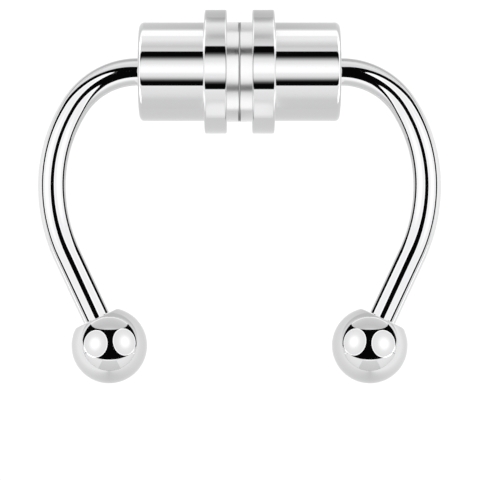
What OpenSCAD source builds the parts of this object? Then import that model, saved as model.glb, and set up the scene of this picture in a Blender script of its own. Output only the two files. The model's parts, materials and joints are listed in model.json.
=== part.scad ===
// Magnetic septum ring in millimetres, lying on its side on its flanges and balls.
// Each half is a bent wire arm with a ball on its free end and a flanged holder on
// the other. A disc magnet stands out of each holder's cup, and the two magnets
// meet in the middle plane, x = 0. Distances along X are counted from that plane.

/* [Wire] */
// Diameter of the arms' wire: 1.2 is 16 gauge
wire_d = 1.2; // [1:0.05:1.4]
// Diameter of the plain post on the wire's end, inside the ball
post_d = 0.9; // [0.6:0.05:0.9]
// Length of that post
post_len = 1.6; // [1:0.1:1.8]

/* [Arm bends] */
// Where the first bend starts
bend_start = 4.45; // [4.4:0.05:4.8]
// Radius of the shoulder, the bend next to the barrel
shoulder_r = 3.25; // [2.8:0.05:3.8]
// Angle that the shoulder turns through
shoulder_turn = 58; // [50:1:70]
// Radius of the bend that ends at the ring's widest place
side_r = 6.5; // [5.5:0.1:7.5]
// Radius of the last bend, past the widest place
inward_r = 7.2; // [6:0.1:8]
// Angle that the arm leans inwards at its end
inward_turn = 25; // [15:1:30]
// Straight stretch from the last bend to the ball's centre
tail_len = 4.34; // [3.5:0.02:6]

/* [Balls] */
// Diameter of a ball
ball_d = 3.3; // [3:0.1:3.8]
// Diameter of the flat on the ball where the arm meets it
ball_flat_d = 2; // [1.6:0.1:2.2]

/* [Magnet holders] */
// Diameter of the barrel
barrel_d = 4.3; // [4:0.1:4.6]
// Outer end of the barrel
barrel_end = 4.36; // [4.2:0.02:4.4]
// Rounding of the barrel's outer edge
barrel_edge_r = 0.2; // [0.1:0.05:0.3]
// Diameter of the flange round the cup
flange_d = 5.4; // [5.2:0.1:5.8]
// Inner end of the flange, which is the lip of the cup
lip_x = 0.55; // [0.4:0.05:0.6]
// Outer end of the flange
flange_x = 1.52; // [1.5:0.02:1.7]
// Rounding of the flange's two edges
flange_edge_r = 0.14; // [0.06:0.02:0.16]
// Depth of the hole for the wire in the barrel's outer end
socket_depth = 2; // [1.5:0.1:2.4]

/* [Magnets] */
// Diameter of a magnet
magnet_d = 4.36; // [4:0.02:4.4]
// Thickness of a magnet
magnet_h = 1.25; // [1.1:0.01:1.3]
// Rounding of the edge that shows
magnet_edge_r = 0.1; // [0.04:0.02:0.16]
// Gap round the magnet inside the cup
cup_gap = 0.12; // [0.08:0.01:0.14]

/* [Hidden] */
$fn = 96;
// Gap between pieces that are fixed to each other
fit_gap = 0.02;
// Extra length that lets a cutter stand out of what it cuts
cut_over = 1;
// Extra thickness of every other bend, so that touching bends have no face in common
lap_d = 0.02;
// Extra turn of those bends at either end, in degrees
lap_turn = 0.5;
// Each bend from the barrel to the ball: radius, and turn in degrees
BENDS = [
    [shoulder_r, shoulder_turn],
    [side_r, 90 - shoulder_turn],
    [inward_r, inward_turn]
];
function heading(n) = n == 0 ? 0 : heading(n - 1) + BENDS[n - 1][1];
// Where bend n starts, in the ring's own plane: X outwards and Y up
function bend_at(n) = n == 0 ? [bend_start, 0] : bend_at(n - 1) + BENDS[n - 1][0]
    * [sin(heading(n)) - sin(heading(n - 1)), cos(heading(n)) - cos(heading(n - 1))];
tail_heading = heading(len(BENDS));
tail_at = bend_at(len(BENDS));
ball_at = tail_at + tail_len * [cos(tail_heading), -sin(tail_heading)];
// Distance from the ball's centre to its flat
ball_flat = sqrt(ball_d * ball_d - ball_flat_d * ball_flat_d) / 2;
// Tilt of the ring's plane with both flanges and both balls on the surface
lay_tilt = asin((flange_d - ball_d) / 2 / -ball_at.y);
// Place of the barrels' axis that centres the ring's box on the origin
axis_y = (ball_d / 2 - ball_at.y * cos(lay_tilt) - flange_d / 2) / 2;

// Takes a half from the ring's own plane to where it lies
module laid(side) {
    translate([0, axis_y, flange_d / 2])
        rotate([lay_tilt, 0, 0])
            mirror([side == "left" ? 1 : 0, 0, 0])
                children();
}

// What rounds a corner at the origin when it is cut off: the corner points along +X and +Y
module corner_cut(edge_r) {
    translate([-edge_r, -edge_r])
        difference() {
            square(edge_r + cut_over);
            circle(r = edge_r);
        }
}

// Round bar along X from near to far, with each end's edge rounded
module bar(d, near, far, near_r, far_r) {
    rotate([0, 90, 0])
        rotate_extrude()
            difference() {
                translate([0, near])
                    square([d / 2, far - near]);
                if (near_r > 0)
                    translate([d / 2, near])
                        mirror([0, 1])
                            corner_cut(near_r);
                if (far_r > 0)
                    translate([d / 2, far])
                        corner_cut(far_r);
            }
}

// Plain round rod along X
module rod(d, from, to) {
    translate([from, 0, 0])
        rotate([0, 90, 0])
            cylinder(d = d, h = to - from);
}

// Bent wire that starts at the origin along X and turns towards -Y.
// A lapped one is a hair thicker and reaches over the ends of its neighbours.
module bent(radius, turn, lapped) {
    over = lapped ? lap_turn : 0;
    translate([0, -radius, 0])
        rotate([0, 0, 90 - turn - over])
            rotate_extrude(angle = turn + 2 * over)
                translate([radius, 0])
                    circle(d = wire_d + (lapped ? lap_d : 0));
}

// Disc magnet: its flat face is in the middle plane and its back is in the cup
module magnet(side) {
    color("gainsboro")
        laid(side)
            bar(magnet_d, 0, magnet_h, magnet_edge_r, 0);
}

// Barrel and flange turned from one piece, with the cup and the hole for the wire
module holder(side) {
    color("silver")
        laid(side)
            difference() {
                union() {
                    bar(flange_d, lip_x, flange_x, flange_edge_r, flange_edge_r);
                    bar(barrel_d, magnet_h, barrel_end, 0, barrel_edge_r);
                }
                rod(magnet_d + 2 * cup_gap, lip_x - cut_over, magnet_h + fit_gap);
                rod(wire_d + 2 * fit_gap, barrel_end - socket_depth, barrel_end + cut_over);
            }
}

// Bent wire from its hole in the barrel to the post inside the ball
module arm(side) {
    color("silver")
        laid(side) {
            rod(wire_d, barrel_end - socket_depth + fit_gap, bend_start);
            for (n = [0 : len(BENDS) - 1])
                translate(bend_at(n))
                    rotate([0, 0, -heading(n)])
                        bent(BENDS[n][0], BENDS[n][1], lapped = n % 2 == 0);
            translate(tail_at)
                rotate([0, 0, -tail_heading]) {
                    rod(wire_d, 0, tail_len - ball_flat - fit_gap);
                    rod(post_d, 0, tail_len - ball_flat + post_len);
                }
        }
}

// Ball with a flat towards the arm and a blind hole for the post
module ball(side) {
    color("silver")
        laid(side)
            translate(ball_at)
                rotate([0, 0, -tail_heading])
                    difference() {
                        sphere(d = ball_d);
                        translate([-ball_flat - ball_d, -ball_d / 2, -ball_d / 2])
                            cube(ball_d);
                        rod(post_d + 2 * fit_gap, -ball_d, post_len + fit_gap - ball_flat);
                    }
}

magnet("left");  // left_magnet
holder("left");  // left_holder
arm("left");  // left_arm
ball("left");  // left_ball
magnet("right");  // right_magnet
holder("right");  // right_holder
arm("right");  // right_arm
ball("right");  // right_ball
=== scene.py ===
import json
import math

import bpy
from mathutils import Matrix, Vector


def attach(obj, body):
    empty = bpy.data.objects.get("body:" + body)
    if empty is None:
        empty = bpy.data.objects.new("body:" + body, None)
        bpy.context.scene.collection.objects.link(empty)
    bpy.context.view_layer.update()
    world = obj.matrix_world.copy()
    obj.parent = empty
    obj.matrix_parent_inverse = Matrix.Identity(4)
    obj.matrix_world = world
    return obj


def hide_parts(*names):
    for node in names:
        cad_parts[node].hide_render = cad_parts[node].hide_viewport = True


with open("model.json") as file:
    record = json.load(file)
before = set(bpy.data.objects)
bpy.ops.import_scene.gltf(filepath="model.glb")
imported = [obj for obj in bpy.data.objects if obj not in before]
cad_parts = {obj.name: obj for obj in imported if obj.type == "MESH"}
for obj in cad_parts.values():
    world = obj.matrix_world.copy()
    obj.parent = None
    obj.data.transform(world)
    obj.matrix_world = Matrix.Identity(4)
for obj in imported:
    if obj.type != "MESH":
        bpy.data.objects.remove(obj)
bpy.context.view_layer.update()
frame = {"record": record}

# Magnetic septum ring lying on its side, seen from above. The dictionaries hold millimetres
# and degrees. The ring's own axes: u along the barrels, v from the balls up to the barrels,
# n out of the ring's plane, up towards the camera.
mm = 0.001


def linearColour(hexValue):
    channels = [int(hexValue[at:at + 2], 16) / 255 for at in (0, 2, 4)]
    return (*(c / 12.92 if c <= 0.04045 else ((c + 0.055) / 1.055) ** 2.4 for c in channels), 1)


def addNode(tree, kind, links=None, **settings):
    node = tree.nodes.new(kind)
    for name, value in settings.items():
        setattr(node, name, value)
    for socket, value in (links or {}).items():
        if isinstance(value, bpy.types.NodeSocket):
            tree.links.new(value, node.inputs[socket])
        else:
            node.inputs[socket].default_value = value
    return node


# Bent wire arm. Each bend is its radius and the angle that it turns through.
armSizes = {
    "wire": 1.2,
    "post": 0.9,
    "postLength": 1.6,
    "socketEnd": 2.38,      # where the wire starts inside the barrel
    "bendStart": 4.45,
    "bends": ((3.25, 58), (6.5, 32), (7.2, 25)),
    "tail": 4.34,           # from the last bend to the ball's middle
    "stepAngle": 0.5,
    "sides": 96,
    "rootFlare": 0.07,      # how far it widens where it enters the barrel
    "flareSteps": 8,
    "endGap": 0.02,         # between the wire's end and the ball's flat
}
ballSizes = {
    "ball": 3.3,
    "flat": 2.0,
    "flatEdge": 0.04,
    "bore": 0.94,
    "boreDepth": 1.62,
    "steps": 256,
    "arcSteps": 110,
}


def armRoute(sizes):
    # Points of the wire's middle in the ring's plane, from the barrel to the last bend's end
    route = [Vector((sizes["bendStart"], 0, 0))]
    at, heading = route[0].copy(), 0.0
    for radius, turn in sizes["bends"]:
        count = round(turn / sizes["stepAngle"])
        for step in range(1, count + 1):
            angle = heading + math.radians(turn) * step / count
            route.append(at + radius * Vector((
                math.sin(angle) - math.sin(heading), math.cos(angle) - math.cos(heading), 0)))
        at, heading = route[-1].copy(), heading + math.radians(turn)
    return route, heading


route, tailHeading = armRoute(armSizes)
tailWay = Vector((math.cos(tailHeading), -math.sin(tailHeading), 0))
ballAt = route[-1] + armSizes["tail"] * tailWay
ballFlat = math.sqrt(ballSizes["ball"] ** 2 - ballSizes["flat"] ** 2) / 2

# The frame's mount is in the middle of the barrels' axis, as high as the flanges' radius
grip = next(m for m in frame["record"]["mounts"] if m["name"] == "septum_grip")
gripAt = Vector(grip["pos_m"])
layTilt = math.asin((gripAt.z / mm - ballSizes["ball"] / 2) / -ballAt.y)
ringPlace = Matrix.Translation(gripAt) @ Matrix.Rotation(layTilt, 4, "X")
halfTurn = {"right": Matrix.Identity(4), "left": Matrix.Rotation(math.pi, 4, "Y")}


def ringPoint(u, v, n):
    return ringPlace @ (Vector((u, v, n)) * mm)


# 316L surgical steel, tumbled and buffed to a mirror: sharp reflections with hard black and
# white bands, and a faint haze where the buffing wheel left its marks. The marks are finer
# than a hundredth of a millimetre, so their grain is drawn coarser, to show.
steelFinish = {
    "name": "mirror polished surgical steel",
    "colour": "C9C9CA",
    "roughness": (0.02, 0.045),
    "hazeSize": 1.4,
    "hazeDetail": 3,
    "grainSize": 0.09,
    "grainDepth": 0.000012,
}
# Nickel plated on a sintered magnet, barrel finished: the same reflections as on the steel
# but blurred, and a fine grain
plateFinish = {
    "name": "satin nickel plate",
    "colour": "CACACA",
    "roughness": (0.2, 0.24),
    "hazeSize": 0.8,
    "hazeDetail": 4,
    "grainSize": 0.05,
    "grainDepth": 0.00012,
}
hazeRange = (0.35, 0.65)    # where most of the haze's noise lies


def metalFinish(finish):
    # Plain metal with a roughness that drifts slowly and a fine grain
    material = bpy.data.materials.new(finish["name"])
    material.use_nodes = True
    tree = material.node_tree
    shader = tree.nodes["Principled BSDF"]
    place = addNode(tree, "ShaderNodeTexCoord").outputs["Object"]
    shader.inputs["Base Color"].default_value = linearColour(finish["colour"])
    shader.inputs["Metallic"].default_value = 1
    haze = addNode(tree, "ShaderNodeTexNoise", {
        "Vector": place, "Scale": 1 / (finish["hazeSize"] * mm), "Detail": finish["hazeDetail"]})
    spread = addNode(tree, "ShaderNodeMapRange", {
        "Value": haze.outputs["Fac"], "From Min": hazeRange[0], "From Max": hazeRange[1],
        "To Min": finish["roughness"][0], "To Max": finish["roughness"][1]})
    tree.links.new(spread.outputs["Result"], shader.inputs["Roughness"])
    grain = addNode(tree, "ShaderNodeTexNoise", {
        "Vector": place, "Scale": 1 / (finish["grainSize"] * mm), "Detail": 2})
    bump = addNode(tree, "ShaderNodeBump", {
        "Height": grain.outputs["Fac"], "Strength": 1, "Distance": finish["grainDepth"] * mm})
    tree.links.new(bump.outputs["Normal"], shader.inputs["Normal"])
    return material


polishedSteel = metalFinish(steelFinish)
nickelPlate = metalFinish(plateFinish)
print("finishes made")


# Turned pieces are outlines of (distance along the axis, radius, rounding of the corner)
holderSizes = {
    "barrel": 4.3,
    "barrelEnd": 4.36,
    "barrelEdge": 0.2,
    "flange": 5.4,
    "lipAt": 0.55,
    "flangeAt": 1.52,
    "flangeEdge": 0.07,
    "rootFillet": 0.05,
    "cup": 4.6,
    "cupFloor": 1.27,
    "cupEdge": 0.06,
    "hole": 1.24,
    "holeFloor": 2.36,
    "steps": 320,
}
magnetSizes = {
    "across": 4.36,
    "thick": 1.25,
    "edge": 0.06,
    "backEdge": 0.05,
    "steps": 256,
}
supportGap = 0.012          # from a rounding or step to the points that hold what is beside it
thinStep = 0.001            # length over which a thickness changes at once
arcStep = math.radians(7.5)
sharpAngle = math.radians(32)


def roundedOutline(corners):
    # Rounds each corner that has a radius, with a support point just past each end of its arc
    points = []
    for before, corner, after in zip([corners[0], *corners], corners, [*corners[1:], corners[-1]]):
        here, radius = Vector(corner[:2]), corner[2]
        if not radius:
            points.append(here)
            continue
        back = (Vector(before[:2]) - here).normalized()
        on = (Vector(after[:2]) - here).normalized()
        half = back.angle(on) / 2
        reach = radius / math.tan(half)
        centre = here + (back + on).normalized() * radius / math.sin(half)
        first, last = here + back * reach - centre, here + on * reach - centre
        sweep = first.angle_signed(last)
        count = max(2, math.ceil(abs(sweep) / arcStep))
        points.append(here + back * (reach + supportGap))
        for step in range(count + 1):
            angle = -sweep * step / count
            points.append(centre + Vector((
                first.x * math.cos(angle) - first.y * math.sin(angle),
                first.x * math.sin(angle) + first.y * math.cos(angle))))
        points.append(here + on * (reach + supportGap))
    return points


def turnedMesh(name, outline, steps):
    # Turns an outline that starts and ends on the axis into a closed mesh about u
    middle = outline[1:-1]
    verts = [(x, r * math.cos(math.tau * s / steps), r * math.sin(math.tau * s / steps))
             for x, r in middle for s in range(steps)]
    verts += [(outline[0][0], 0, 0), (outline[-1][0], 0, 0)]
    first, last = len(verts) - 2, len(verts) - 1
    end = (len(middle) - 1) * steps
    faces = []
    for s in range(steps):
        t = (s + 1) % steps
        faces.append((first, t, s))
        faces.append((last, end + s, end + t))
        for ring in range(0, end, steps):
            faces.append((ring + s, ring + t, ring + steps + t, ring + steps + s))
    mesh = bpy.data.meshes.new(name)
    mesh.from_pydata(verts, [], faces)
    return mesh


def finishPiece(mesh, node, body, place, material):
    # Puts the mesh where its node is, smooths it and hands it to the frame
    mesh.transform(ringPlace @ place @ Matrix.Scale(mm, 4))
    mesh.materials.clear()
    mesh.materials.append(material)
    mesh.polygons.foreach_set("use_smooth", [True] * len(mesh.polygons))
    mesh.set_sharp_from_angle(angle=sharpAngle)
    mesh.validate()
    piece = bpy.data.objects.new(mesh.name, mesh)
    bpy.context.scene.collection.objects.link(piece)
    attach(piece, body)
    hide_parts(node)
    return piece


def holderOutline(sizes):
    cup, flange, barrel, hole = (sizes[key] / 2 for key in ("cup", "flange", "barrel", "hole"))
    return roundedOutline([
        (sizes["cupFloor"], 0, 0),
        (sizes["cupFloor"], cup, 0),
        (sizes["lipAt"], cup, sizes["cupEdge"]),
        (sizes["lipAt"], flange, sizes["flangeEdge"]),
        (sizes["flangeAt"], flange, sizes["flangeEdge"]),
        (sizes["flangeAt"], barrel, sizes["rootFillet"]),
        (sizes["barrelEnd"], barrel, sizes["barrelEdge"]),
        (sizes["barrelEnd"], hole, 0),
        (sizes["holeFloor"], hole, 0),
        (sizes["holeFloor"], 0, 0),
    ])


def magnetOutline(sizes):
    radius = sizes["across"] / 2
    return roundedOutline([
        (0, 0, 0),
        (0, radius, sizes["edge"]),
        (sizes["thick"], radius, sizes["backEdge"]),
        (sizes["thick"], 0, 0),
    ])


def ballOutline(sizes):
    # Along the wire's own way: the flat first, then the round of the ball
    radius, bore = sizes["ball"] / 2, sizes["bore"] / 2
    flatHalf = sizes["flat"] / 2
    start = math.atan2(flatHalf, -ballFlat)
    edge = start - sizes["flatEdge"] / radius
    points = [
        Vector((sizes["boreDepth"] - ballFlat, 0)),
        Vector((sizes["boreDepth"] - ballFlat, bore)),
        Vector((-ballFlat, bore)),
        Vector((-ballFlat, flatHalf - 3 * sizes["flatEdge"])),
        Vector((-ballFlat, flatHalf - sizes["flatEdge"])),
    ]
    for step in range(sizes["arcSteps"] + 1):
        angle = edge * (1 - step / sizes["arcSteps"])
        points.append(radius * Vector((math.cos(angle), math.sin(angle))))
    points[-1].y = 0
    return points


# Geometry Nodes sweep the wire along its route
def wireTree():
    tree = bpy.data.node_groups.new("bent wire", "GeometryNodeTree")
    face = tree.interface
    face.new_socket("Route", in_out="INPUT", socket_type="NodeSocketGeometry")
    for name in ("Wire Radius", "Post Radius"):
        face.new_socket(name, in_out="INPUT", socket_type="NodeSocketFloat")
    face.new_socket("Sides", in_out="INPUT", socket_type="NodeSocketInt")
    face.new_socket("Finish", in_out="INPUT", socket_type="NodeSocketMaterial")
    face.new_socket("Wire", in_out="OUTPUT", socket_type="NodeSocketGeometry")
    given = addNode(tree, "NodeGroupInput").outputs
    onPost = addNode(tree, "GeometryNodeInputNamedAttribute", {"Name": "onPost"}, data_type="BOOLEAN")
    flare = addNode(tree, "GeometryNodeInputNamedAttribute", {"Name": "flare"}, data_type="FLOAT")
    radius = addNode(tree, "GeometryNodeSwitch", {
        "Switch": onPost.outputs["Attribute"],
        "False": given["Wire Radius"], "True": given["Post Radius"]}, input_type="FLOAT")
    flared = addNode(tree, "ShaderNodeMath", {
        0: radius.outputs["Output"], 1: flare.outputs["Attribute"]}, operation="ADD")
    curve = addNode(tree, "GeometryNodeMeshToCurve", {"Mesh": given["Route"]})
    circle = addNode(tree, "GeometryNodeCurvePrimitiveCircle", {
        "Resolution": given["Sides"], "Radius": 1.0})
    swept = addNode(tree, "GeometryNodeCurveToMesh", {
        "Curve": curve.outputs["Curve"], "Profile Curve": circle.outputs["Curve"],
        "Scale": flared.outputs["Value"], "Fill Caps": True})
    real = addNode(tree, "GeometryNodeRealizeInstances", {"Geometry": swept.outputs["Mesh"]})
    coated = addNode(tree, "GeometryNodeSetMaterial", {
        "Geometry": real.outputs["Geometry"], "Material": given["Finish"]})
    addNode(tree, "NodeGroupOutput", {"Wire": coated.outputs["Geometry"]})
    return tree


def wireRoute(sizes):
    # The whole wire's middle, each point with how far it flares and whether it is on the post
    barrelEnd, flare, count = holderSizes["barrelEnd"], sizes["rootFlare"], sizes["flareSteps"]
    shoulder = sizes["tail"] - ballFlat - sizes["endGap"]
    points = [(Vector((sizes["socketEnd"], 0, 0)), 0, False)]
    points.append((Vector((barrelEnd + thinStep, 0, 0)), 0, False))
    for step in range(count + 1):
        angle = math.pi / 2 * step / count
        along = barrelEnd + 2 * thinStep + flare * (1 - math.cos(angle))
        points.append((Vector((along, 0, 0)), flare * (1 - math.sin(angle)), False))
    points += [(point, 0, False) for point in route]
    for along, onPost in ((supportGap, False), (shoulder - supportGap, False), (shoulder, False),
                          (shoulder + thinStep, True), (shoulder + supportGap, True),
                          (sizes["tail"] - ballFlat + sizes["postLength"], True)):
        points.append((route[-1] + along * tailWay, 0, onPost))
    return points


def armMesh(name, sizes, tree, material):
    points = wireRoute(sizes)
    mesh = bpy.data.meshes.new(name)
    mesh.from_pydata([p for p, flare, onPost in points],
                     [(n, n + 1) for n in range(len(points) - 1)], [])
    mesh.attributes.new("flare", "FLOAT", "POINT").data.foreach_set(
        "value", [flare for p, flare, onPost in points])
    mesh.attributes.new("onPost", "BOOLEAN", "POINT").data.foreach_set(
        "value", [onPost for p, flare, onPost in points])
    guide = bpy.data.objects.new(name + "Route", mesh)
    bpy.context.scene.collection.objects.link(guide)
    sweep = guide.modifiers.new("bent wire", "NODES")
    sweep.node_group = tree
    values = {"Wire Radius": sizes["wire"] / 2, "Post Radius": sizes["post"] / 2,
              "Sides": sizes["sides"], "Finish": material}
    for item in tree.interface.items_tree:
        if item.in_out == "INPUT" and item.name in values:
            sweep[item.identifier] = values[item.name]
    seen = guide.evaluated_get(bpy.context.evaluated_depsgraph_get())
    made = bpy.data.meshes.new_from_object(seen)
    made.name = name
    guide.modifiers.remove(sweep)
    bpy.data.objects.remove(guide)
    bpy.data.meshes.remove(mesh)
    for attribute in [a.name for a in made.attributes if a.name in ("flare", "onPost")]:
        made.attributes.remove(made.attributes[attribute])
    return made


bentWire = wireTree()
ballPlace = Matrix.Translation(ballAt * mm) @ Matrix.Rotation(-tailHeading, 4, "Z")
bodies = {"left": {"magnet": "left_half", "rest": "left_half"},
          "right": {"magnet": "right_magnet", "rest": "right_half"}}
pieces = {"magnets": {}, "holders": {}, "arms": {}, "balls": {}}
for side, turn in halfTurn.items():
    rest = bodies[side]["rest"]
    pieces["magnets"][side] = finishPiece(
        turnedMesh(side + "DiscMagnet", magnetOutline(magnetSizes), magnetSizes["steps"]),
        side + "_magnet", bodies[side]["magnet"], turn, nickelPlate)
    pieces["holders"][side] = finishPiece(
        turnedMesh(side + "FlangedHolder", holderOutline(holderSizes), holderSizes["steps"]),
        side + "_holder", rest, turn, polishedSteel)
    pieces["arms"][side] = finishPiece(
        armMesh(side + "WireArm", armSizes, bentWire, polishedSteel),
        side + "_arm", rest, turn, polishedSteel)
    pieces["balls"][side] = finishPiece(
        turnedMesh(side + "ScrewBall", ballOutline(ballSizes), ballSizes["steps"]),
        side + "_ball", rest, turn @ ballPlace, polishedSteel)
    print(side, "half made")


# Floor and studio
floorSizes = {"across": 4000, "colour": "E7E7E7"}
far = 500       # from the ring to its walls, ceiling, screens and softboxes
deep = 60       # from the ring down to its tables
sideWays = {"left": -1, "right": 1}


def floorSheet(sizes):
    half = sizes["across"] / 2 * mm
    mesh = bpy.data.meshes.new("floor")
    mesh.from_pydata([(-half, -half, 0), (half, -half, 0), (half, half, 0), (-half, half, 0)],
                     [], [(0, 1, 2, 3)])
    material = bpy.data.materials.new("matt white paper")
    material.use_nodes = True
    shader = material.node_tree.nodes["Principled BSDF"]
    shader.inputs["Base Color"].default_value = linearColour(sizes["colour"])
    shader.inputs["Roughness"].default_value = 1
    shader.inputs["Specular IOR Level"].default_value = 0
    mesh.materials.append(material)
    floor = bpy.data.objects.new("floor", mesh)
    bpy.context.scene.collection.objects.link(floor)
    floor.visible_glossy = False    # the panels below it stand for it in the reflections
    return floor


def receivers(name, things):
    # A lamp is given one of these, so that it lights only what is in it
    group = bpy.data.collections.new(name)
    for thing in things:
        group.objects.link(thing)
    return group


def addPanel(name, group, at, back, up, size, stops, shape=None, radial=False):
    # A panel lamp at a place in the ring's axes. back points from what it lights to the
    # panel, and up is its own Y. stops are (share of the way, brightness) across Y or, on a
    # radial one, from the middle to the edge. shape is the part that glows, in shares of the
    # panel: (power, middle, halves), where power 2 is an ellipse and 1 a diamond. The lamp's
    # energy makes a brightness of 1 white in a perfect mirror.
    lamp = bpy.data.lights.new(name, "AREA")
    lamp.shape = "RECTANGLE"
    lamp.size, lamp.size_y = size[0] * mm, size[1] * mm
    lamp.energy = lamp.size * lamp.size_y * math.pi
    lamp.use_nodes = True
    tree = lamp.node_tree
    emission = tree.nodes["Emission"]
    place = addNode(tree, "ShaderNodeNewGeometry").outputs["Parametric"]
    reach = addNode(tree, "ShaderNodeSeparateXYZ", {"Vector": place}).outputs["Y"]
    if shape:
        power, middle, halves = shape
        offset = addNode(tree, "ShaderNodeVectorMath", {
            0: place, 1: (1 / halves[0], 1 / halves[1], 0),
            2: (-middle[0] / halves[0], -middle[1] / halves[1], 0)}, operation="MULTIPLY_ADD")
        away = addNode(tree, "ShaderNodeVectorMath", {0: offset.outputs["Vector"]},
                       operation="ABSOLUTE")
        parts = addNode(tree, "ShaderNodeSeparateXYZ", {"Vector": away.outputs["Vector"]})
        across, along = (addNode(tree, "ShaderNodeMath", {0: parts.outputs[axis], 1: power},
                                 operation="POWER").outputs["Value"] for axis in ("X", "Y"))
        both = addNode(tree, "ShaderNodeMath", {0: across, 1: along}, operation="ADD")
        within = addNode(tree, "ShaderNodeMath", {0: both.outputs["Value"], 1: 1},
                         operation="LESS_THAN")
        tree.links.new(within.outputs["Value"], emission.inputs["Strength"])
        if radial:
            reach = addNode(tree, "ShaderNodeMath", {0: both.outputs["Value"], 1: 1 / power},
                            operation="POWER").outputs["Value"]
    ramp = addNode(tree, "ShaderNodeValToRGB", {"Fac": reach})
    elements = ramp.color_ramp.elements
    elements.remove(elements[1])
    for number, (share, glow) in enumerate(sorted(stops)):
        element = elements[0] if number == 0 else elements.new(share)
        element.position = share
        element.color = (glow, glow, glow, 1)
    tree.links.new(ramp.outputs["Color"], emission.inputs["Color"])
    thing = bpy.data.objects.new(name, lamp)
    bpy.context.scene.collection.objects.link(thing)
    back = Vector(back).normalized()
    side = Vector(up).cross(back).normalized()
    turn = Matrix((side, back.cross(side), back)).transposed().to_4x4()
    thing.matrix_world = (Matrix.Translation(ringPoint(*at))
                          @ ringPlace.to_3x3().to_4x4() @ turn)
    thing.visible_camera = False
    thing.light_linking.receiver_collection = group


def cot(angle):
    return 1 / math.tan(math.radians(angle))


def tan(angle):
    return math.tan(math.radians(angle))


def addCeiling(name, group, wide, bands):
    # Panel across n. bands are (angle from n towards v, brightness)
    first, last = bands[0][0], bands[-1][0]
    low, high = tan(first), tan(last)
    stops = [((tan(angle) - low) / (high - low), bright) for angle, bright in bands]
    at = far * Vector((0, (low + high) / 2, 1))
    addPanel(name, group, at, (0, 0, 1), (0, 1, 0),
             (2 * far * tan(wide), far * (high - low)), stops)


def addWall(name, group, middle, way, width, bands):
    # Panel across a way in the ring's plane. bands are (angle from n, brightness), and width
    # is a share of its distance.
    first, last = bands[0][0], bands[-1][0]
    high, low = cot(first), cot(last)
    stops = [((cot(angle) - low) / (high - low), bright) for angle, bright in bands]
    at = Vector(middle) + far * (Vector(way) + Vector((0, 0, (low + high) / 2)))
    addPanel(name, group, at, way, (0, 0, 1), (width * far, far * (high - low)), stops)


def addSoftbox(name, group, middle, way, box):
    # Softbox facing middle. turn is its angle from n towards u, lift the one towards v,
    # halves are the angles from its middle to its side and its top, tip turns it in its plane
    turn, lift = math.radians(way * box["turn"]), math.radians(box["lift"])
    back = Vector((math.sin(turn) * math.cos(lift), math.sin(lift), math.cos(turn) * math.cos(lift)))
    up = Matrix.Rotation(math.radians(way * box.get("tip", 0)), 3, back) @ Vector((0, 1, 0))
    size = [2 * far * tan(half) for half in box["halves"]]
    addPanel(name, group, Vector(middle) + far * back, back, up, size, box["rings"],
             shape=(box["power"], (0.5, 0.5), (0.5, 0.5)), radial=True)


def shares(ends, value):
    return (value - ends[0]) / (ends[1] - ends[0])


def framed(screen, mirrored):
    # The glowing part of a screen or table, from its own numbers to shares of the panel
    power, middle, halves = screen["shape"]
    shown = [shares(screen[key], value) for key, value in zip(("across", "along"), middle)]
    if mirrored:
        shown[0] = 1 - shown[0]
    wide, high = (screen[key][1] - screen[key][0] for key in ("across", "along"))
    return power, shown, (halves[0] / wide, halves[1] / high)


def addScreen(name, group, middle, way, screen, lean):
    # Upright screen. Its numbers are shares of its distance: across runs outwards, or
    # towards v on one at the side, and along runs up from the middle. bands are (along,
    # brightness), shape is as in addPanel, and lean tips its foot.
    ends, heights = screen["across"], screen["along"]
    facing = Vector((way * screen["way"][0], screen["way"][1], 0))
    up = Vector((way * lean[0], lean[1], 1))
    up = (up - facing * up.dot(facing)).normalized()
    side = up.cross(facing)
    mirrored = side.dot(Vector((way, 0, 0)) if facing.y else Vector((0, 1, 0))) < 0
    at = Vector(middle) + far * (facing + side * sum(ends) / 2 * (-1 if mirrored else 1)
                                 + up * sum(heights) / 2)
    addPanel(name, group, at, facing, up,
             (far * (ends[1] - ends[0]), far * (heights[1] - heights[0])),
             [(shares(heights, level), bright) for level, bright in screen["bands"]],
             framed(screen, mirrored))


def addTable(name, group, middle, way, table, lean):
    # Panel below, in the floor's place, tipped by lean. Its numbers are shares of its depth:
    # across runs towards v and along runs outwards, and bands are (along, brightness).
    normal = Vector((way * lean[0], lean[1], 1)).normalized()
    outwards = Vector((way, 0, 0))
    outwards = (outwards - normal * outwards.dot(normal)).normalized()
    side = normal.cross(outwards)
    mirrored = side.y < 0
    ends, lengths = table["across"], table["along"]
    at = Vector(middle) + deep * (outwards * sum(lengths) / 2 - normal
                                  + side * sum(ends) / 2 * (-1 if mirrored else 1))
    addPanel(name, group, at, -normal, outwards,
             (deep * (ends[1] - ends[0]), deep * (lengths[1] - lengths[0])),
             [(shares(lengths, u), bright) for u, bright in table["bands"]],
             framed(table, mirrored) if "shape" in table else None)


floor = floorSheet(floorSizes)
floorGroup = receivers("floor only", [floor])

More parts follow.
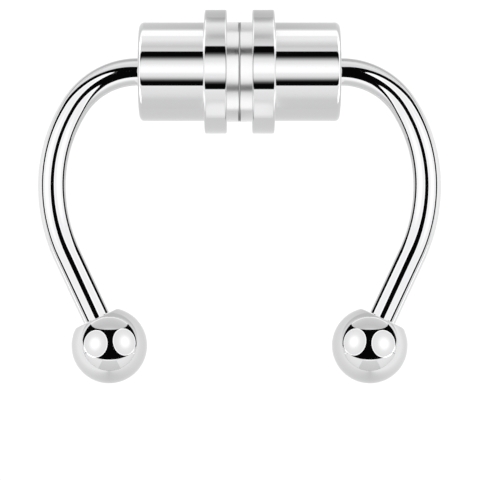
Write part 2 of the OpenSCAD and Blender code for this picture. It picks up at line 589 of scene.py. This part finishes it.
# The barrels and the magnets see long strips across the room, parted by black flags. Each
# outer pair of walls leaves the width of the middle one free between them.
barrelLights = {
    "wide": 52,
    "ceiling": ((-58, 1.22), (-52, 1.26), (-43, 1.3), (-37.5, 1.4), (-36, 0.0), (-27, 0.0),
                (-24, 0.12), (-18, 1.0), (-14, 1.32), (-9, 1.42), (-5, 1.68), (1, 1.74),
                (6, 1.68), (11, 1.53), (15, 1.36), (19, 1.26), (24, 0.7), (29, 0.1), (32, 0.0),
                (43, 0.0), (44.5, 1.15), (50, 1.1), (56, 0.98), (58, 1.0)),
    "walls": {
        "upper": {"way": 1, "at": (-510.3, 510.3), "width": 2,
                  "bands": ((58, 1.0), (62, 1.08), (66, 1.15), (72, 1.33), (77, 1.42), (86, 1.42),
                            (88.5, 1.7), (106, 1.7), (109, 1.2), (115, 0.97))},
        "lower": {"way": -1, "at": (-510.3, 510.3), "width": 2,
                  "bands": ((58, 1.22), (63, 1.15), (68, 1.06), (74, 1.0), (100, 0.98))},
        # The flanges see these two walls, the barrels those on either side of them
        "upperMiddle": {"way": 1, "at": (0,), "width": 0.0412,
                        "bands": ((58, 0.96), (60, 0.84), (64, 0.79), (67, 0.84), (70, 0.95),
                                  (77, 1.12), (83, 1.24), (88, 1.31), (95, 1.32), (99, 1.12),
                                  (103, 0.87), (108, 0.73), (115, 0.65))},
        "lowerMiddle": {"way": -1, "at": (0,), "width": 0.0412,
                        "bands": ((58, 1.2), (62, 1.23), (66, 1.35), (71, 1.43), (84, 1.44),
                                  (90, 1.4), (94, 1.27), (100, 1.1))},
    },
    "endWall": ((53, 1.5), (60, 1.7), (92, 1.7)),
    "farWall": ((60, 0.8), (92, 0.8)),
    "tables": {
        "below": {"across": (-5.7, 0), "along": (-28, 28),
                  "bands": ((-28, 1.0), (-4, 0.8), (-1.5, 0.4), (-1, 1.0), (28, 1.0))},
        # Of this one the flanges see the strip from 0 to 0.06, which is darker
        "upper": {"across": (0, 2.2), "along": (-28, 28),
                  "bands": ((-28, 1.0), (-4, 0.8), (-1.5, 0.4), (-1, 1.0), (-0.01, 1.0),
                            (0, 0.77), (0.057, 0.77), (0.061, 1.0), (28, 1.0))},
    },
}
magnetLights = {
    "wide": 40,
    "ceiling": ((-58, 1.3), (-51, 1.25), (-48, 0.2), (-35, 0.2), (-32, 1.2), (-20, 1.6), (0, 1.74),
                (20, 1.6), (33, 1.45), (36, 0.04), (51, 0.04), (54, 1.2), (58, 1.35)),
    "walls": {
        "upper": {"way": 1, "at": (0,), "width": 1.4, "bands": ((58, 1.35), (70, 1.5), (100, 1.5))},
        "lower": {"way": -1, "at": (0,), "width": 1.4, "bands": ((58, 1.3), (75, 1.66), (100, 1.7))},
    },
    "endWall": ((55, 0.8), (92, 0.8)),
    "farWall": ((55, 0.25), (92, 0.25)),
    "tables": {
        "upper": {"across": (1.9, 5.7), "along": (-28, 28),
                  "bands": ((-28, 0.6), (-6, 1.0), (-1, 0.8), (-0.6, 0.3), (-0.1, 0.3),
                            (-0.05, 1.1), (28, 1.1))},
        "below": {"across": (0, 1.9), "along": (-28, 28),
                  "bands": ((-28, 0.6), (-6, 1.0), (-1, 0.8), (-0.6, 0.3), (-0.1, 0.3),
                            (-0.05, 1.2), (28, 1.2))},
        "lower": {"across": (-5.7, 0), "along": (-28, 28),
                  "bands": ((-28, 0.6), (-6, 1.0), (-1, 0.7), (-0.6, 0.2), (-0.1, 0.2),
                            (-0.05, 1.15), (28, 1.15))},
    },
}
endWallWidth = 4    # like the other walls' width
for kind, lights in (("holders", barrelLights), ("magnets", magnetLights)):
    group = receivers(kind, pieces[kind].values())
    addCeiling(kind + "Ceiling", group, lights["wide"], lights["ceiling"])
    for name, wall in lights["walls"].items():
        for x in wall["at"]:
            addWall(f"{kind}{name}{x}", group, (x, 0, 0), (0, wall["way"], 0), wall["width"],
                    wall["bands"])
    # What faces the other half sees less than what faces outwards
    for side, way in sideWays.items():
        group = receivers(side + kind, [pieces[kind][side]])
        addWall(side + kind + "End", group, (0, 0, 0), (way, 0, 0), endWallWidth, lights["endWall"])
        addWall(side + kind + "Far", group, (0, 0, 0), (-way, 0, 0), endWallWidth, lights["farWall"])
        for name, table in lights["tables"].items():
            addTable(side + kind + name, group, (0, 0, 0), way, table, (0, 0))

# In the photograph no piece shows in another's polish
for halves in pieces.values():
    for piece in halves.values():
        piece.visible_glossy = False

# The arms and balls see two softboxes, screens around them and tables below. turn is outwards.
armRings = ((0, 1.75), (0.35, 1.72), (0.5, 1.5), (0.8, 1.5), (0.88, 1.75))
screenLean = (-0.069, 0.19)     # tips the screens and the tables alike
ballFoot = {
    "way": (0, -1),
    "along": (0.19, 1.2),
    "shape": (1.5, (0, 0), (5.5, 1.17)),
    "bands": ((0.19, 1.2), (0.5, 1.28), (0.8, 1.34), (1.2, 1.36)),
}
softLights = {
    "arms": {
        "middle": (7.2, -4.5, 0),
        "softboxes": {
            "outer": {"turn": 39.6, "lift": 3.2, "halves": (33, 31.2), "tip": -3, "power": 2.95,
                      "rings": armRings},
            "inner": {"turn": -61, "lift": -3, "halves": (49.5, 34.2), "tip": -28, "power": 1.5,
                      "rings": armRings},
        },
        "screens": {
            "top": {"way": (0, 1), "across": (-3, 3), "along": (-0.19, 1.6),
                    "shape": (0.6, (0, -1), (4.2, 2.95)),
                    "bands": ((-0.2, 1.0), (-0.1, 1.15), (0.0, 1.25), (0.1, 1.35), (0.27, 1.3),
                              (0.4, 1.22), (0.66, 1.18), (1.6, 1.1))},
            "bottom": {"way": (0, -1), "across": (-3, 3), "along": (-1.1, 0.88),
                       "shape": (0.8, (0, -1.1), (3.6, 2.51)),
                       "bands": ((-1.1, 0.9), (-0.2, 1.0), (-0.1, 0.98), (0.05, 1.07), (0.16, 1.2),
                                 (0.27, 1.38), (0.38, 1.58), (0.52, 1.65), (0.75, 1.6), (0.88, 1.5))},
        },
        "tables": {
            "outer": {"across": (-0.9, 1.4), "along": (0, 57),
                      "bands": ((0, 0.95), (1, 1.3), (3, 1.45), (57, 1.5))},
            "outerLower": {"across": (-27, -0.9), "along": (0, 57),
                           "bands": ((0, 0.38), (3.1, 0.38), (4.1, 1.2), (57, 1.3))},
            "inner": {"across": (-0.62, 1.4), "along": (-3, 0),
                      "shape": (1, (-0.62, 0), (2.75, 2.45)),
                      "bands": ((-3, 1.05), (-1, 0.95), (0, 0.95))},
            "beyond": {"across": (1.4, 50), "along": (-1, 57),
                       "bands": ((-1, 0.75), (2, 0.75), (8, 1.5), (57, 1.7))},
        },
    },
    "balls": {
        "middle": (5.7, -12, 0),
        "softboxes": {
            "outer": {"turn": 41.3, "lift": 7.4, "halves": (39, 39), "power": 2,
                      "rings": ((0, 1.8), (0.25, 1.75), (0.4, 1.52), (0.5, 1.38), (0.8, 1.3),
                                (0.92, 1.32), (0.95, 1.9))},
            "inner": {"turn": -53.5, "lift": 12.2, "halves": (37.9, 37.9), "power": 2,
                      "rings": ((0, 1.8), (0.25, 1.75), (0.4, 1.52), (0.5, 1.4), (0.8, 1.3),
                                (0.92, 1.32), (0.95, 1.9))},
        },
        "screens": {
            "top": {"way": (0, 1), "across": (-0.9, 0.9), "along": (-0.19, 0.8),
                    "shape": (2, (0, 0), (0.885, 0.778)),
                    "bands": ((-0.19, 1.7), (-0.16, 1.7), (-0.12, 1.1), (0.1, 0.98), (0.4, 0.9),
                              (0.6, 0.95), (0.7, 1.15))},
            "bottom": {"way": (0, -1), "across": (-0.5, 0.5), "along": (0.19, 1.2),
                       "shape": (1.5, (0, 0), (5.5, 1.17)),
                       "bands": ((0.19, 0.95), (0.7, 1.05), (0.98, 1.1), (1.08, 1.6), (1.2, 1.75))},
            "bottomOuter": {**ballFoot, "across": (0.5, 3.2)},
            "bottomInner": {**ballFoot, "across": (-3.2, -0.5)},
            "outerSide": {"way": (1, 0), "across": (-0.33, 0.2), "along": (0.069, 0.45),
                          "shape": (0.9, (-0.6, 0.069), (0.82, 0.37)),
                          "bands": ((0.069, 1.35), (0.45, 1.35))},
            "innerSide": {"way": (-1, 0), "across": (-0.33, -0.03), "along": (-0.069, 0.4),
                          "shape": (0.7, (-0.6, -0.069), (0.7, 0.7)),
                          "bands": ((-0.069, 1.2), (0.4, 1.2))},
        },
        "tables": {
            "floor": {"across": (-115, 2.5), "along": (-115, 115),
                      "bands": ((-115, 1.3), (-5.7, 1.25), (-1.2, 1.1), (-0.36, 0.95), (0, 0.92),
                                (0.36, 0.95), (1.2, 1.2), (2.7, 1.35), (115, 1.45))},
            "beyond": {"across": (2.5, 115), "along": (-115, 115),
                       "bands": ((-115, 1.2), (-7, 1.1), (-3, 0.85), (3, 0.8), (7, 1.3), (115, 1.4))},
        },
    },
}
for kind, lights in softLights.items():
    for side, way in sideWays.items():
        group = receivers(side + kind, [pieces[kind][side]])
        u, v, n = lights["middle"]
        middle = (way * u, v, n)
        for name, box in lights["softboxes"].items():
            addSoftbox(side + kind + name, group, middle, way, box)
        for name, screen in lights["screens"].items():
            addScreen(side + kind + name, group, middle, way, screen, screenLean)
        for name, table in lights["tables"].items():
            addTable(side + kind + name, group, middle, way, table, screenLean)
print("lamps placed")


# One sun makes the paper white, the other gives the soft shadow on it
floorSuns = {
    "floorWash": {"strength": 3.4, "soft": 1, "shadow": False},
    "floorSoft": {"strength": 0.6, "soft": 60, "shadow": True},
}


def addSun(name, group, settings):
    sun = bpy.data.lights.new(name, "SUN")
    sun.energy = settings["strength"]
    sun.angle = math.radians(settings["soft"])
    sun.use_shadow = settings["shadow"]
    thing = bpy.data.objects.new(name, sun)
    bpy.context.scene.collection.objects.link(thing)
    thing.light_linking.receiver_collection = group


for name, settings in floorSuns.items():
    addSun(name, floorGroup, settings)

worldSettings = {"dark": 0.003, "backdrop": 1.0}


def studioWorld(settings):
    # Nearly black for the metal, so that only the lamps show in it, and white for the camera
    world = bpy.data.worlds.new("studio")
    world.use_nodes = True
    tree = world.node_tree
    background = tree.nodes["Background"]
    lit = addNode(tree, "ShaderNodeBackground", {
        "Color": (1, 1, 1, 1), "Strength": settings["backdrop"]})
    mix = addNode(tree, "ShaderNodeMixShader", {
        "Fac": addNode(tree, "ShaderNodeLightPath").outputs["Is Camera Ray"],
        1: background.outputs["Background"], 2: lit.outputs["Background"]})
    background.inputs["Color"].default_value = (*[settings["dark"]] * 3, 1)
    tree.links.new(mix.outputs["Shader"], tree.nodes["World Output"].inputs["Surface"])
    return world


bpy.context.scene.world = studioWorld(worldSettings)
bpy.context.scene.view_settings.view_transform = "Standard"
print("floor and backdrop lit")

# wide is what the picture shows at the ring's height, below and aside are the camera's place
cameraSettings = {
    "distance": 90,
    "wide": 20.96,
    "below": 7.34,
    "aside": 0.02,
    "sensor": 36,
    "clip": (10, 10000),
}


def addCamera(sizes):
    camera = bpy.data.objects.new("camera", bpy.data.cameras.new("camera"))
    bpy.context.scene.collection.objects.link(camera)
    camera.data.sensor_width = sizes["sensor"]
    camera.data.lens = sizes["sensor"] * sizes["distance"] / sizes["wide"]
    camera.data.clip_start, camera.data.clip_end = (length * mm for length in sizes["clip"])
    camera.matrix_world = ringPlace @ Matrix.Translation(
        Vector((sizes["aside"], -sizes["below"], sizes["distance"])) * mm)
    return camera


bpy.context.scene.camera = addCamera(cameraSettings)
print("camera placed")
